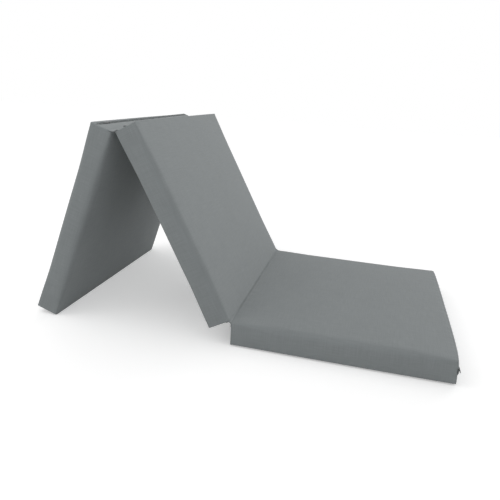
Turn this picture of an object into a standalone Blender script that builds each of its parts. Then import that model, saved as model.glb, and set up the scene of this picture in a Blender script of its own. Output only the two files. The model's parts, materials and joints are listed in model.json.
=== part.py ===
"""Folding mattress: three foam panels in zipped cloth covers, joined by two cloth folds.

The foot panel lies flat on the floor, the middle panel leans up from it, and the head panel
props the middle one like the second leg of a tent. Units are metres, and +Z is up.
"""

import math

import bmesh
import bpy
from mathutils import Matrix
from mathutils import Vector

for old in list(bpy.data.objects):
    bpy.data.objects.remove(old, do_unlink=True)

# Panels, each from fold line to fold line
PANEL_LENGTH = 0.650
PANEL_WIDTH = 0.700
PANEL_THICKNESS = 0.080
LONG_EDGE_RADIUS = 0.018
LONG_EDGE_LIMIT_SHARE = 0.45
FOAM_END_RADIUS = 0.0025
CROWN_RISE = 0.003
SIDE_DRAW = 0.002
FLOOR_FLAT_DEPTH = 0.0005

# Cloth of the covers, and the gap left between pieces that touch
CLOTH_THICKNESS = 0.0012
FIT_GAP = 0.0003

# Cloth folds between the panels
FOLD_TAPE_THICKNESS = 0.0008
FOLD_TAPE_LEG = 0.012
FOLD_TAPE_SIDE_MARGIN = 0.010
FOLDED_FACE_GAP = 0.0006
FOLD_CLEARANCE = 0.001

# Zips
ZIP_TAPE_WIDTH = 0.011
ZIP_TAPE_THICKNESS = 0.0007
ZIP_TAPE_SIDE_MARGIN = 0.020
ZIP_CHAIN_SIDE_MARGIN = 0.030
ZIP_STOP_LENGTH = 0.0025
ZIP_STOP_BEVEL = 0.0003
COIL_WIDTH = 0.003
COIL_HEIGHT = 0.0013
COIL_SHOULDER_SHARE = 0.33
SLIDER_LENGTH = 0.011
SLIDER_WALL = 0.0006
SLIDER_POST_WIDTH = 0.0004
SLIDER_SHOULDER = 0.0007
SLIDER_SLOT_CLEARANCE = 0.0004
BRIDGE_WIDTH = 0.0018
BRIDGE_FOOT = 0.0008
BRIDGE_HOLE_LENGTH = 0.0025
PULL_LENGTH = 0.034
PULL_WIDTH = 0.006
PULL_THICKNESS = 0.0009
PULL_CLEARANCE = 0.00025
PULL_HOLE_LENGTH = 0.009
PULL_HOLE_WIDTH = 0.0022
PULL_CORNER_SHARE = 0.25
PULL_HOLE_CORNER_SHARE = 0.9
HEAD_SLIDER_OPENING = 0.045

# How high each zip runs in its panel's end, from the back face to the sleeping face
HEAD_ZIP_HEIGHT_SHARE = 0.74
MIDDLE_ZIP_HEIGHT_SHARE = 0.50
FOOT_ZIP_HEIGHT_SHARE = 0.55

# Lean of the middle panel above the floor, as it is set up
MIDDLE_LEAN = math.radians(61.6)

# Steps of the curved surfaces
CROWN_POWER = 4
LENGTH_STEPS = 8
WIDTH_STEPS = 8
SIDE_STEPS = 2
EDGE_STEPS = 3
END_STEPS = 2
ROUND_STEPS = 4

# Sizes that follow from the ones above
cloth_inset = CLOTH_THICKNESS + FIT_GAP
end_radius = cloth_inset + FOAM_END_RADIUS
face_gap = FOLDED_FACE_GAP / 2
side_height = PANEL_THICKNESS - 2 * CROWN_RISE
edge_radius = min(LONG_EDGE_RADIUS, LONG_EDGE_LIMIT_SHARE * side_height)

# Places of the zip's layers, outwards from the face of the panel's end
tape_outer = -cloth_inset
tape_inner = tape_outer - ZIP_TAPE_THICKNESS
coil_inner = tape_outer + FIT_GAP
coil_outer = coil_inner + COIL_HEIGHT
slider_back_outer = tape_inner - FIT_GAP
slider_back_inner = slider_back_outer - SLIDER_WALL
slider_front_inner = coil_outer + FIT_GAP
slider_front_outer = slider_front_inner + SLIDER_WALL
bridge_hole_height = math.hypot(PULL_THICKNESS, PULL_THICKNESS) + FIT_GAP / 2
pull_axis = slider_front_outer + bridge_hole_height / 2
bridge_inner = slider_front_outer + bridge_hole_height
bridge_outer = bridge_inner + SLIDER_WALL

# Widths of the zip, from its centre line
coil_edge = SLIDER_POST_WIDTH / 2 + FIT_GAP
coil_outer_edge = coil_edge + COIL_WIDTH
slider_lip = coil_outer_edge + FIT_GAP
slider_half_width = slider_lip + SLIDER_WALL
slot_half_width = slider_half_width + SLIDER_SHOULDER + SLIDER_SLOT_CLEARANCE
chain_half_length = PANEL_WIDTH / 2 - ZIP_CHAIN_SIDE_MARGIN

# The gap between two panels' ends when the mattress lies flat
fold_gap = max(bridge_outer, 2 * (FIT_GAP + FOLD_TAPE_THICKNESS)) + FOLD_CLEARANCE
end_inset = fold_gap / 2


class Panel:
    """One panel: where its ends are, and which edges of its two faces are free of a fold."""

    def __init__(self, name, low_end, high_end, top_free, back_free, zip_end, zip_height, floor_flat):
        self.name = name
        self.low_end = low_end
        self.high_end = high_end
        self.top_free = top_free
        self.back_free = back_free
        self.zip_end = zip_end
        self.zip_height = zip_height
        self.floor_flat = floor_flat


def crown_drop(x, y, free_ends):
    """How far a face lies below its crown, which falls towards the sides and the free ends."""
    along = 2 * x / PANEL_LENGTH - 1
    across = 2 * y / PANEL_WIDTH
    low = max(0, -along) ** CROWN_POWER if free_ends[0] else 0
    high = max(0, along) ** CROWN_POWER if free_ends[1] else 0
    side = abs(across) ** CROWN_POWER
    return CROWN_RISE * (1 - (1 - low) * (1 - high) * (1 - side))


def top_height(panel, x, y):
    return PANEL_THICKNESS - crown_drop(x, y, panel.top_free)


def back_height(panel, x, y):
    drop = crown_drop(x, y, panel.back_free)
    if panel.floor_flat:
        return max(0, drop - FLOOR_FLAT_DEPTH)
    return drop


def half_width(x):
    """Half of the panel's width, which draws in towards the ends."""
    along = 2 * x / PANEL_LENGTH - 1
    return PANEL_WIDTH / 2 - SIDE_DRAW * abs(along) ** CROWN_POWER


def arc(centre_y, centre_z, radius, start, steps):
    """Points of a quarter circle after its first one, anticlockwise seen from +X."""
    points = []
    for i in range(1, steps + 1):
        angle = math.radians(start + 90 * i / steps)
        points.append((centre_y + radius * math.cos(angle), centre_z + radius * math.sin(angle)))
    return points


def section(panel, x, inset):
    """Outline of the panel across its length at x, drawn in by inset, as (y, z) points."""
    half = half_width(x) - inset
    radius = edge_radius - inset
    flat = half - radius
    low_centre = back_height(panel, x, flat) + inset + radius
    high_centre = top_height(panel, x, flat) - inset - radius
    points = []
    for i in range(WIDTH_STEPS + 1):
        y = flat * (2 * i / WIDTH_STEPS - 1)
        points.append((y, back_height(panel, x, y) + inset))
    points += arc(flat, low_centre, radius, -90, EDGE_STEPS)
    for i in range(1, SIDE_STEPS + 1):
        points.append((half, low_centre + (high_centre - low_centre) * i / SIDE_STEPS))
    points += arc(flat, high_centre, radius, 0, EDGE_STEPS)
    for i in range(1, WIDTH_STEPS + 1):
        y = flat * (1 - 2 * i / WIDTH_STEPS)
        points.append((y, top_height(panel, x, y) - inset))
    points += arc(-flat, high_centre, radius, 90, EDGE_STEPS)
    for i in range(1, SIDE_STEPS + 1):
        points.append((-half, high_centre + (low_centre - high_centre) * i / SIDE_STEPS))
    points += arc(-flat, low_centre, radius, 180, EDGE_STEPS)[:-1]
    return points


def rings(panel, inset, low_end, high_end):
    """Outlines from end to end, turned in over each end by a quarter circle."""
    radius = end_radius - inset
    turns = []
    for i in range(END_STEPS + 1):
        angle = math.radians(90 * i / END_STEPS)
        turns.append((radius * (1 - math.cos(angle)), radius * (1 - math.sin(angle))))
    places = [(low_end + forward, inset + inward) for forward, inward in turns]
    start = low_end + radius
    length = high_end - low_end - 2 * radius
    for i in range(1, LENGTH_STEPS):
        places.append((start + length * i / LENGTH_STEPS, inset))
    places += [(high_end - forward, inset + inward) for forward, inward in reversed(turns)]
    return [[(x, y, z) for y, z in section(panel, x, drawn)] for x, drawn in places]


def add_band(mesh, first, second):
    """Triangles between two rings of vertices."""
    for i in range(len(first)):
        j = (i + 1) % len(first)
        mesh.faces.new((first[i], first[j], second[j]))
        mesh.faces.new((first[i], second[j], second[i]))


def finish_mesh(mesh, name, smooth):
    """Turn a bmesh into a mesh with its faces outwards."""
    bmesh.ops.recalc_face_normals(mesh, faces=mesh.faces)
    data = bpy.data.meshes.new(name)
    mesh.to_mesh(data)
    mesh.free()
    if smooth:
        data.shade_smooth()
        data.set_sharp_from_angle(angle=math.radians(50))
    return data


def loft(name, outlines, smooth=False):
    """A solid through a row of outlines, closed by a face at each end."""
    mesh = bmesh.new()
    rows = [[mesh.verts.new(point) for point in outline] for outline in outlines]
    for first, second in zip(rows, rows[1:]):
        add_band(mesh, first, second)
    mesh.faces.new(rows[0])
    mesh.faces.new(rows[-1])
    return finish_mesh(mesh, name, smooth)


def sleeve(name, outer, inner):
    """A tube of cloth between two rows of outlines, open at both ends."""
    mesh = bmesh.new()
    outer_rows = [[mesh.verts.new(point) for point in outline] for outline in outer]
    inner_rows = [[mesh.verts.new(point) for point in outline] for outline in inner]
    for rows in (outer_rows, inner_rows):
        for first, second in zip(rows, rows[1:]):
            add_band(mesh, first, second)
    add_band(mesh, outer_rows[0], inner_rows[0])
    add_band(mesh, outer_rows[-1], inner_rows[-1])
    return finish_mesh(mesh, name, True)


def plate(name, outline, first_x, second_x):
    """A flat piece of cloth in the plane across the panel's length."""
    return loft(name, [[(x, y, z) for y, z in outline] for x in (first_x, second_x)])


def bar(name, outline, first_y, second_y):
    """A straight piece along the width, with an (x, z) outline."""
    return loft(name, [[(x, y, z) for x, z in outline] for y in (first_y, second_y)])


def rectangle(first_x, second_x, first_z, second_z):
    return [(first_x, first_z), (second_x, first_z), (second_x, second_z), (first_x, second_z)]


def cut_outline(points, height, keep_above):
    """The part of an (y, z) outline on one side of a level line."""
    side = 1 if keep_above else -1
    kept = []
    for (y, z), (next_y, next_z) in zip(points, points[1:] + points[:1]):
        here = side * (z - height)
        there = side * (next_z - height)
        if here > 0:
            kept.append((y, z))
        if here * there < 0:
            kept.append((y + (next_y - y) * here / (here - there), height))
    return kept


def linear(code):
    """A colour written as six hex digits, in Blender's linear values."""
    values = []
    for i in (0, 2, 4):
        share = int(code[i : i + 2], 16) / 255
        values.append(share / 12.92 if share <= 0.04045 else ((share + 0.055) / 1.055) ** 2.4)
    return (*values, 1)


def material(name, code, roughness, metallic=0):
    made = bpy.data.materials.new(name)
    made.use_nodes = True
    shader = made.node_tree.nodes["Principled BSDF"]
    shader.inputs["Base Color"].default_value = linear(code)
    shader.inputs["Roughness"].default_value = roughness
    shader.inputs["Metallic"].default_value = metallic
    return made


cover_cloth = material("grey_cover_cloth", "7F8484", 0.85)
fold_cloth = material("grey_fold_cloth", "6C7070", 0.85)
zip_cloth = material("grey_zip_tape", "5C6161", 0.8)
coil_nylon = material("grey_nylon_coil", "4E5252", 0.45)
slider_paint = material("painted_zinc_slider", "3E4141", 0.4, 0.6)
stop_metal = material("zinc_stop", "5A5D5D", 0.4, 0.8)
foam = material("cream_foam", "E6DFC8", 0.95)


def place(name, data, finish, parent, matrix):
    """An object for one piece, under its parent."""
    piece = bpy.data.objects.new(name, data)
    data.materials.clear()
    data.materials.append(finish)
    bpy.context.scene.collection.objects.link(piece)
    piece.parent = parent
    piece.matrix_local = matrix
    return piece


def axis_empty(name, parent, matrix):
    """An empty on a fold's axis, which carries all that turns about it."""
    empty = bpy.data.objects.new(name, None)
    empty.empty_display_size = PANEL_THICKNESS
    bpy.context.scene.collection.objects.link(empty)
    empty.parent = parent
    empty.matrix_local = matrix
    return empty


def slider_outline(x_and_width):
    """The slider's section at one place along the zip: two walls joined by the thin post."""
    y, extra = x_and_width
    side = slider_half_width + extra
    post = SLIDER_POST_WIDTH / 2
    half = [
        (slider_back_inner, side),
        (slider_back_outer, side),
        (slider_back_outer, post),
        (slider_front_inner, post),
        (slider_front_inner, slider_lip),
        (coil_inner, slider_lip),
        (coil_inner, side),
        (slider_front_outer, side),
    ]
    other = [(x, -z) for x, z in reversed(half)]
    return [(x, y, z) for x, z in half + other]


def slider_mesh():
    """The slider's body with the bridge that holds the pull, joined into one solid."""
    shares = [(-0.5, 0), (-0.15, 0.2), (0.2, 1), (0.4, 0.8), (0.5, 0.2)]
    stations = [(SLIDER_LENGTH * along, SLIDER_SHOULDER * wide) for along, wide in shares]
    body = bpy.data.objects.new("slider_body", loft("slider_body", map(slider_outline, stations)))
    hole = BRIDGE_HOLE_LENGTH / 2
    foot = hole + BRIDGE_FOOT
    root = slider_front_outer - SLIDER_WALL / 2
    corner = BRIDGE_FOOT / 2
    profile = [
        (root, -foot),
        (bridge_outer - corner, -foot),
        (bridge_outer, -foot + corner),
        (bridge_outer, foot - corner),
        (bridge_outer - corner, foot),
        (root, foot),
        (root, hole),
        (bridge_inner, hole),
        (bridge_inner, -hole),
        (root, -hole),
    ]
    sides = (-BRIDGE_WIDTH / 2, BRIDGE_WIDTH / 2)
    bridge_mesh = loft("bridge", [[(x, y, z) for x, y in profile] for z in sides])
    bridge = bpy.data.objects.new("bridge", bridge_mesh)
    for item in (body, bridge):
        bpy.context.scene.collection.objects.link(item)
    join = body.modifiers.new("join", "BOOLEAN")
    join.operation = "UNION"
    join.object = bridge
    joined = bpy.data.meshes.new_from_object(body.evaluated_get(bpy.context.evaluated_depsgraph_get()))
    joined.name = "zip_slider"
    for item in (body, bridge):
        bpy.data.objects.remove(item, do_unlink=True)
    return joined


def rounded_outline(first, second, half, corner_share):
    """A rectangle from first to second with rounded corners, as points in a plane."""
    radius = half * corner_share
    points = []
    corners = [
        (second - radius, half - radius, 0),
        (first + radius, half - radius, 90),
        (first + radius, -half + radius, 180),
        (second - radius, -half + radius, 270),
    ]
    for centre_y, centre_z, start in corners:
        points.append(
            (
                centre_y + radius * math.cos(math.radians(start)),
                centre_z + radius * math.sin(math.radians(start)),
            )
        )
        points += arc(centre_y, centre_z, radius, start, ROUND_STEPS)
    return points


def pull_curve(name):
    """The pull as a filled outline with a window for the bridge and a finger slot."""
    pin = PULL_THICKNESS / 2
    reach = math.hypot(BRIDGE_HOLE_LENGTH / 2 + BRIDGE_FOOT, bridge_outer - pull_axis)
    window = BRIDGE_WIDTH / 2 + PULL_CLEARANCE
    slot_start = PULL_LENGTH - PULL_WIDTH / 2 - PULL_HOLE_LENGTH
    slot_half = PULL_HOLE_WIDTH / 2
    outlines = [
        rounded_outline(-pin, PULL_LENGTH - pin, PULL_WIDTH / 2, PULL_CORNER_SHARE),
        rounded_outline(pin, reach + PULL_CLEARANCE, window, PULL_CORNER_SHARE),
        rounded_outline(slot_start, slot_start + PULL_HOLE_LENGTH, slot_half, PULL_HOLE_CORNER_SHARE),
    ]
    curve = bpy.data.curves.new(name, "CURVE")
    curve.dimensions = "2D"
    curve.fill_mode = "BOTH"
    curve.extrude = PULL_THICKNESS / 2
    for points in outlines:
        spline = curve.splines.new("POLY")
        spline.points.add(len(points) - 1)
        spline.use_cyclic_u = True
        for spline_point, (y, z) in zip(spline.points, points):
            spline_point.co = (y, z, 0, 1)
    return curve


def add_zip(panel, carrier, offset, slider_data):
    """The zip in one end of a panel. Its own frame has X outwards and Y to its closed end."""
    outwards = 1 if panel.zip_end == "high" else -1
    end = panel.high_end if panel.zip_end == "high" else panel.low_end
    height = panel.zip_height
    across = Vector((outwards, 0, 0)).cross(Vector((0, -1, 0)))
    turned = Matrix(((outwards, 0, across.x), (0, -1, across.y), (0, 0, across.z))).to_4x4()
    frame = offset @ Matrix.Translation((end, 0, height)) @ turned
    upper = across.z
    opening = HEAD_SLIDER_OPENING if panel.name == "head" else 0
    slider_place = chain_half_length - FIT_GAP - SLIDER_LENGTH / 2 - opening
    tape_half = PANEL_WIDTH / 2 - ZIP_TAPE_SIDE_MARGIN

    outline = section(panel, end, end_radius + FIT_GAP)
    for level, above in (("upper", True), ("lower", False)):
        edge = height + slot_half_width * (1 if above else -1)
        strip = plate("zip_panel", cut_outline(outline, edge, above), end, end - outwards * CLOTH_THICKNESS)
        place(f"{panel.name}_zip_panel_{level}", strip, cover_cloth, carrier, offset)
        side = upper if above else -upper
        tape = rectangle(tape_inner, tape_outer, side * coil_edge, side * (coil_edge + ZIP_TAPE_WIDTH))
        tape_data = bar("zip_tape", tape, -tape_half, tape_half)
        place(f"{panel.name}_zip_tape_{level}", tape_data, zip_cloth, carrier, frame)
        shoulder = COIL_HEIGHT * COIL_SHOULDER_SHARE
        coil = [
            (coil_inner, side * coil_edge),
            (coil_outer - shoulder, side * coil_edge),
            (coil_outer, side * (coil_edge + shoulder)),
            (coil_outer, side * (coil_outer_edge - shoulder)),
            (coil_outer - shoulder, side * coil_outer_edge),
            (coil_inner, side * coil_outer_edge),
        ]
        coil_data = bar("zip_coil", coil, -chain_half_length, chain_half_length)
        place(f"{panel.name}_zip_coil_{level}", coil_data, coil_nylon, carrier, frame)

    stop = rectangle(coil_inner, coil_outer, -coil_outer_edge, coil_outer_edge)
    for end_name, direction in (("top", 1), ("bottom", -1)):
        near = direction * (chain_half_length + FIT_GAP)
        far = near + direction * ZIP_STOP_LENGTH
        data = bar("zip_stop", stop, near, far)
        piece = place(f"{panel.name}_zip_{end_name}_stop", data, stop_metal, carrier, frame)
        rounding = piece.modifiers.new("rounding", "BEVEL")
        rounding.width = ZIP_STOP_BEVEL

    slider_frame = frame @ Matrix.Translation((0, slider_place, 0))
    place(f"{panel.name}_zip_slider", slider_data, slider_paint, carrier, slider_frame)
    flat = Matrix(((0, 0, 1), (1, 0, 0), (0, 1, 0))).to_4x4()
    pull_frame = slider_frame @ Matrix.Translation((pull_axis, 0, 0)) @ flat
    place(f"{panel.name}_zip_pull", pull_curve("zip_pull"), slider_paint, carrier, pull_frame)


def add_panel(panel, carrier, offset, slider_data):
    """All the pieces of one panel, under the empty or object that carries it."""
    inner_low = panel.low_end + CLOTH_THICKNESS
    inner_high = panel.high_end - CLOTH_THICKNESS
    outer = rings(panel, 0, panel.low_end, panel.high_end)
    inner = rings(panel, CLOTH_THICKNESS, inner_low, inner_high)
    cover = sleeve("cover_sleeve", outer, inner)
    place(f"{panel.name}_cover_sleeve", cover, cover_cloth, carrier, offset)

    foam_low = panel.low_end + cloth_inset
    foam_high = panel.high_end - cloth_inset
    if panel.zip_end == "high":
        foam_high = panel.high_end + slider_back_inner - FIT_GAP
    else:
        foam_low = panel.low_end - slider_back_inner + FIT_GAP
    core = loft("foam_core", rings(panel, cloth_inset, foam_low, foam_high), smooth=True)
    place(f"{panel.name}_foam_core", core, foam, carrier, offset)

    plain_end = panel.low_end if panel.zip_end == "high" else panel.high_end
    inside = CLOTH_THICKNESS if panel.zip_end == "high" else -CLOTH_THICKNESS
    outline = section(panel, plain_end, end_radius + FIT_GAP)
    closing = plate("end_panel", outline, plain_end, plain_end + inside)
    place(f"{panel.name}_end_panel", closing, cover_cloth, carrier, offset)
    add_zip(panel, carrier, offset, slider_data)


def fold_tape(name, carrier, matrix, towards, angle):
    """A cloth strip over a fold: a leg down each panel's end, bent about the fold's axis."""
    leg = end_inset - FIT_GAP - FOLD_TAPE_THICKNESS / 2
    turn = Matrix.Rotation(-angle, 2)
    knee = towards * leg
    hem = towards * (leg + FOLD_TAPE_LEG)
    path = [Vector((leg, hem)), Vector((leg, knee)), Vector((0, 0))]
    path += [turn @ Vector((-leg, knee)), turn @ Vector((-leg, hem))]
    offset_points = []
    for i, point in enumerate(path):
        before = (point - path[i - 1]).normalized() if i > 0 else None
        after = (path[i + 1] - point).normalized() if i < len(path) - 1 else None
        along = [step for step in (before, after) if step]
        normals = [Vector((-step.y, step.x)) for step in along]
        middle = (normals[0] + normals[-1]).normalized()
        offset_points.append(middle * FOLD_TAPE_THICKNESS / 2 / middle.dot(normals[0]))
    one_side = [point + away for point, away in zip(path, offset_points)]
    other_side = [point - away for point, away in zip(path, offset_points)]
    outline = [tuple(point) for point in one_side + other_side[::-1]]
    half = PANEL_WIDTH / 2 - FOLD_TAPE_SIDE_MARGIN
    place(name, bar(name, outline, -half, half), fold_cloth, carrier, matrix)


foot = Panel(
    name="foot",
    low_end=end_inset,
    high_end=PANEL_LENGTH,
    top_free=(False, True),
    back_free=(True, True),
    zip_end="high",
    zip_height=FOOT_ZIP_HEIGHT_SHARE * PANEL_THICKNESS,
    floor_flat=True,
)
middle = Panel(
    name="middle",
    low_end=end_inset,
    high_end=PANEL_LENGTH - end_inset,
    top_free=(True, False),
    back_free=(False, True),
    zip_end="low",
    zip_height=MIDDLE_ZIP_HEIGHT_SHARE * PANEL_THICKNESS,
    floor_flat=False,
)
head = Panel(
    name="head",
    low_end=0,
    high_end=PANEL_LENGTH - end_inset,
    top_free=(True, True),
    back_free=(True, False),
    zip_end="high",
    zip_height=HEAD_ZIP_HEIGHT_SHARE * PANEL_THICKNESS,
    floor_flat=False,
)

# The crease lies over the foot panel's end, and the top fold at the middle panel's back face
crease_height = PANEL_THICKNESS + face_gap
top_fold_depth = crease_height + face_gap
top_fold_height = (
    crease_height + PANEL_LENGTH * math.sin(MIDDLE_LEAN) - top_fold_depth * math.cos(MIDDLE_LEAN)
)

# The head panel leans so far that the lower rim of its end stands on the floor
foot_rim = face_gap + CROWN_RISE + end_radius
rim_reach = math.hypot(PANEL_LENGTH, foot_rim)
head_lean = math.atan2(foot_rim, PANEL_LENGTH) + math.asin(top_fold_height / rim_reach)

mattress = axis_empty("mattress", None, Matrix.Identity(4))
crease_turn = Matrix.Rotation(MIDDLE_LEAN, 4, "Y")
crease_axis = axis_empty("crease_axis", mattress, Matrix.Translation((0, 0, crease_height)) @ crease_turn)
top_turn = Matrix.Rotation(-MIDDLE_LEAN - head_lean, 4, "Y")
top_place = Matrix.Translation((-PANEL_LENGTH, 0, -top_fold_depth))
top_axis = axis_empty("top_axis", crease_axis, top_place @ top_turn)

zip_slider = slider_mesh()
add_panel(foot, mattress, Matrix.Identity(4), zip_slider)
add_panel(middle, crease_axis, Matrix.Translation((-PANEL_LENGTH, 0, -crease_height)), zip_slider)
add_panel(head, top_axis, Matrix.Translation((-PANEL_LENGTH, 0, face_gap)), zip_slider)
fold_tape("crease_fold_tape", mattress, Matrix.Translation((0, 0, crease_height)), -1, MIDDLE_LEAN)
fold_tape("top_fold_tape", crease_axis, top_place, 1, -MIDDLE_LEAN - head_lean)

# The whole stands centred over the origin
bpy.context.view_layer.update()
solids = [piece for piece in bpy.data.objects if piece.type == "MESH"]
reach = [(piece.matrix_world @ vertex.co).x for piece in solids for vertex in piece.data.vertices]
mattress.location.x = -(min(reach) + max(reach)) / 2
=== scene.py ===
"""Looks of a three-part folding mattress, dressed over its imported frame.

The foot panel lies flat, and the middle and head panels stand behind it as a tent.
Lengths are metres, and +Z is up.
"""

import json
import math

import bpy
import numpy as np
from mathutils import Matrix, Vector, noise
from mathutils.bvhtree import BVHTree
from mathutils.kdtree import KDTree


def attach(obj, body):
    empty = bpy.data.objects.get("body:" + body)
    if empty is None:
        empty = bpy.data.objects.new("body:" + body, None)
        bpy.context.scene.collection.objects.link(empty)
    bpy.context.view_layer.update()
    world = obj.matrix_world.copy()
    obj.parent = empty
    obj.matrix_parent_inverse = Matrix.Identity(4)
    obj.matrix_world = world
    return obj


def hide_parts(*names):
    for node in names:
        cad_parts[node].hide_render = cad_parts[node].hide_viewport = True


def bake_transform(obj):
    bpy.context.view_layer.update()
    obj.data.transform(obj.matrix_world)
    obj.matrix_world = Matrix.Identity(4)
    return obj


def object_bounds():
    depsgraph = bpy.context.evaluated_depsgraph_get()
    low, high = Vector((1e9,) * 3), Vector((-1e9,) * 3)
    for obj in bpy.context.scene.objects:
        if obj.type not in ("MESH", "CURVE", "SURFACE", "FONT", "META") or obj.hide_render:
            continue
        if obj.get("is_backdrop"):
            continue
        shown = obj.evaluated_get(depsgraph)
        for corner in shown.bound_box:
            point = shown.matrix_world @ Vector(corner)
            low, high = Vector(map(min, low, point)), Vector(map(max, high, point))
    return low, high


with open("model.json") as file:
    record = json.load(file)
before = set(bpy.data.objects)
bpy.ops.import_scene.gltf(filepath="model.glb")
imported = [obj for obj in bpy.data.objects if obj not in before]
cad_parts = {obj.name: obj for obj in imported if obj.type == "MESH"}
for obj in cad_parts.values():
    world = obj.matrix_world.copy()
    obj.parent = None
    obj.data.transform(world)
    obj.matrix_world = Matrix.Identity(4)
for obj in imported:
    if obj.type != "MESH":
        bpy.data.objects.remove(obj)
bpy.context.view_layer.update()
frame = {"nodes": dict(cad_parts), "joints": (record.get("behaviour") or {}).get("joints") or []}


# The foam blocks. Each is cut from a bun of open-cell polyurethane foam with a band saw, so it has
# crisp ends and a matt, pricked surface. It is slid into its cover and held by the tight cloth.
PANEL_LENGTH = 0.650
PANEL_WIDTH = 0.700
PANEL_THICKNESS = 0.080
LONG_EDGE_RADIUS = 0.018
CORNER_RADIUS = 0.008
CORNER_REACH = 0.16
CROWN_RISE = 0.003
CROWN_POWER = 4
SIDE_DRAW = 0.002
ROW_CLEARANCE = 0.0012
FLOOR_FLAT_DEPTH = 0.0005
FOLD_END_INSET = 0.00201
FACE_GAP = 0.0003
MIDDLE_LEAN = math.radians(61.6)
HEAD_LEAN = math.radians(71.404065)
CLOTH_INSET = 0.0034
FOAM_END_RADIUS = 0.0040
ZIP_DEPTH = {"foot": 0.0120, "middle": 0.0100, "head": 0.0100}


class Kept:
    """Values that belong together, each under its own name."""

    def __init__(self, **values):
        for name, value in values.items():
            setattr(self, name, value)


# Each panel has its own frame: X along it, Y across, Z from back to front. It runs from low to
# high. A 1 marks an end, low or high, where nothing presses on the face, so that it falls away.
fold_axes = {joint["name"]: Vector(joint["pos_m"]) for joint in frame["joints"] if "pos_m" in joint}
crease = fold_axes["crease_fold"]
ridge = fold_axes["top_fold"]
foot = Kept(
    name="foot",
    matrix=Matrix.Translation((crease.x, 0, 0)),
    low=FOLD_END_INSET,
    high=PANEL_LENGTH,
    zip_end="high",
    zip_height=0.55 * PANEL_THICKNESS,
    front_free=(0, 1),
    back_free=(1, 1),
)
middle = Kept(
    name="middle",
    matrix=Matrix.Translation(crease)
    @ Matrix.Rotation(MIDDLE_LEAN, 4, "Y")
    @ Matrix.Translation((-PANEL_LENGTH, 0, -PANEL_THICKNESS - FACE_GAP)),
    low=FOLD_END_INSET,
    high=PANEL_LENGTH - FOLD_END_INSET,
    zip_end="low",
    zip_height=0.50 * PANEL_THICKNESS,
    front_free=(1, 0),
    back_free=(0, 1),
)
head = Kept(
    name="head",
    matrix=Matrix.Translation(ridge)
    @ Matrix.Rotation(-HEAD_LEAN, 4, "Y")
    @ Matrix.Translation((-PANEL_LENGTH, 0, FACE_GAP)),
    low=0,
    high=PANEL_LENGTH - FOLD_END_INSET,
    zip_end="high",
    zip_height=0.74 * PANEL_THICKNESS,
    front_free=(1, 1),
    back_free=(1, 0),
)
panels = (foot, middle, head)


def face_drop(x, y, free):
    """How far a face lies below its crown."""
    along = 2 * x / PANEL_LENGTH - 1
    low = np.clip(-along, 0, None) ** CROWN_POWER * free[0]
    high = np.clip(along, 0, None) ** CROWN_POWER * free[1]
    side = np.abs(2 * y / PANEL_WIDTH) ** CROWN_POWER
    return CROWN_RISE * (1 - (1 - low) * (1 - high) * (1 - side))


def side_rows(rows_up, arc_steps, extra=()):
    """(inwards, up) of each row of points from the back face round the side to the front face.

    A row at an extra height takes the place of others that lie too close to it.
    """
    radius = LONG_EDGE_RADIUS
    rows = []
    for i in range(arc_steps + 1):
        turn = math.radians(90 * i / arc_steps)
        rows.append((radius * (1 - math.sin(turn)), radius * (1 - math.cos(turn))))
    straight = PANEL_THICKNESS - 2 * radius
    rows += [(0, radius + straight * i / rows_up) for i in range(1, rows_up)]
    rows += [(inwards, PANEL_THICKNESS - up) for inwards, up in reversed(rows[: arc_steps + 1])]
    for up in extra:
        past = max(0, up - (PANEL_THICKNESS - radius))
        inwards = radius - math.sqrt(radius**2 - past**2)
        rows = [row for row in rows if abs(row[1] - up) > ROW_CLEARANCE or row[0] == radius]
        rows.append((inwards, up))
    return np.array(sorted(rows, key=lambda row: row[1]))


def edge_radius(panel, x):
    """The long edges' radius at x: the end seams hold the cloth closer to the block's corners."""
    away = min(x - panel.low, panel.high - x)
    share = min(max(away / CORNER_REACH, 0), 1)
    return CORNER_RADIUS + (LONG_EDGE_RADIUS - CORNER_RADIUS) * share * share * (3 - 2 * share)


def slab_section(panel, x, inset, rows, columns, side_inset=None):
    """Grid of points across the panel at x, drawn in by inset: rows up, columns across."""
    along = 2 * np.clip(x, 0, PANEL_LENGTH) / PANEL_LENGTH - 1
    half = PANEL_WIDTH / 2 - SIDE_DRAW * abs(along) ** CROWN_POWER - (side_inset or inset)
    radius = edge_radius(panel, x)
    floor_radius = CORNER_RADIUS if panel is foot else radius
    up = rows[:, 1].copy()
    low_arc = up < LONG_EDGE_RADIUS
    high_arc = up > PANEL_THICKNESS - LONG_EDGE_RADIUS
    straight = ~low_arc & ~high_arc
    shrink = np.where(low_arc, floor_radius - inset, radius - inset) / LONG_EDGE_RADIUS
    inwards = rows[:, 0] * shrink
    share = (up - LONG_EDGE_RADIUS) / (PANEL_THICKNESS - 2 * LONG_EDGE_RADIUS)
    up[straight] = (floor_radius + (PANEL_THICKNESS - radius - floor_radius) * share)[straight]
    up[low_arc] = inset + up[low_arc] * shrink[low_arc]
    up[high_arc] = PANEL_THICKNESS - inset - (PANEL_THICKNESS - up[high_arc]) * shrink[high_arc]
    y = np.outer(half - inwards, columns)
    z = np.repeat(up[:, None], len(columns), axis=1)
    back = face_drop(x, y, panel.back_free)
    if panel is foot:
        back = np.clip(back - FLOOR_FLAT_DEPTH, 0, None)
    front = face_drop(x, y, panel.front_free)
    z = z + back * np.clip(1 - z / floor_radius, 0, 1)
    z = z - front * np.clip((z - (PANEL_THICKNESS - radius)) / radius, 0, 1)
    return np.stack((np.full_like(y, x), y, z), axis=2)


def border(grid):
    """The outer loop of a grid of points, along its back row first."""
    return np.concatenate((grid[0, :-1], grid[:-1, -1], grid[-1, :0:-1], grid[:0:-1, 0]))


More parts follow.
